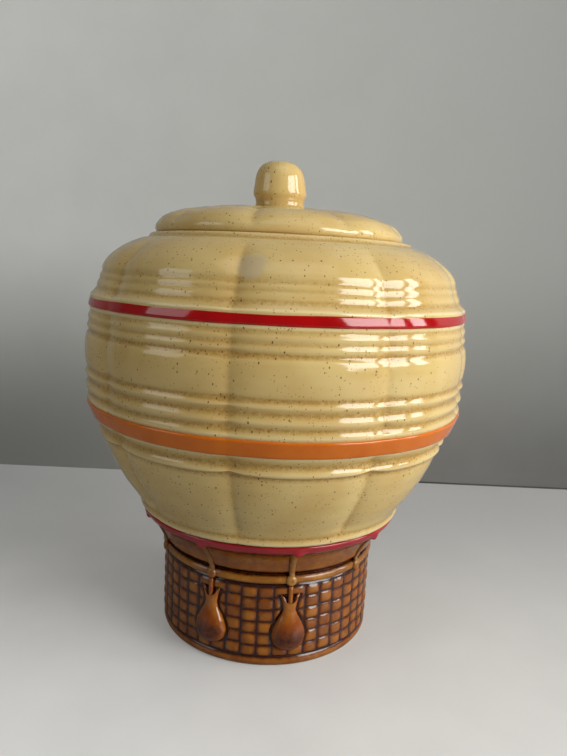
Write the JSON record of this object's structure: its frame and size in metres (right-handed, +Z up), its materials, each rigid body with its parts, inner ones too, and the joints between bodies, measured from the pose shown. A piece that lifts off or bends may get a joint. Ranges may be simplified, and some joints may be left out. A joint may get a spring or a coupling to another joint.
{
  "type": "biscuit jar",
  "caption": "Glazed ceramic biscuit jar shaped like a hot-air balloon over a woven basket, with a lift-off domed lid and knob.",
  "frame": {"origin": "centre of the foot ring, on the surface the jar stands on", "axes": "+Z up along the jar's axis; -Y is the front that the picture shows"},
  "size_m": [0.205, 0.2054, 0.2573],
  "materials": {
    "cream_glaze": "glossy speckled glaze",
    "red_enamel": "glossy enamel",
    "orange_enamel": "glossy enamel",
    "crimson_enamel": "glossy enamel",
    "brown_glaze": "glossy translucent glaze",
    "amber_glaze": "glossy translucent glaze",
    "rope_glaze": "glossy translucent glaze",
    "sandbag_glaze": "glossy translucent glaze",
    "lid_glaze": "glossy speckled glaze"
  },
  "bodies": {
    "jar": {"envelope": "cream_glaze", "red_band": "red_enamel", "orange_band": "orange_enamel", "crimson_line": "crimson_enamel", "basket": "brown_glaze", "rope_rail": "amber_glaze", "rope_straps": "rope_glaze", "sandbags": "sandbag_glaze"},
    "lid": {"lid": "lid_glaze"}
  },
  "joints": [
    {"name": "lid_lift", "type": "slide", "parent": "jar", "child": "lid", "axis": [0, 0, 1], "range_m": [0, 0.08]}
  ]
}
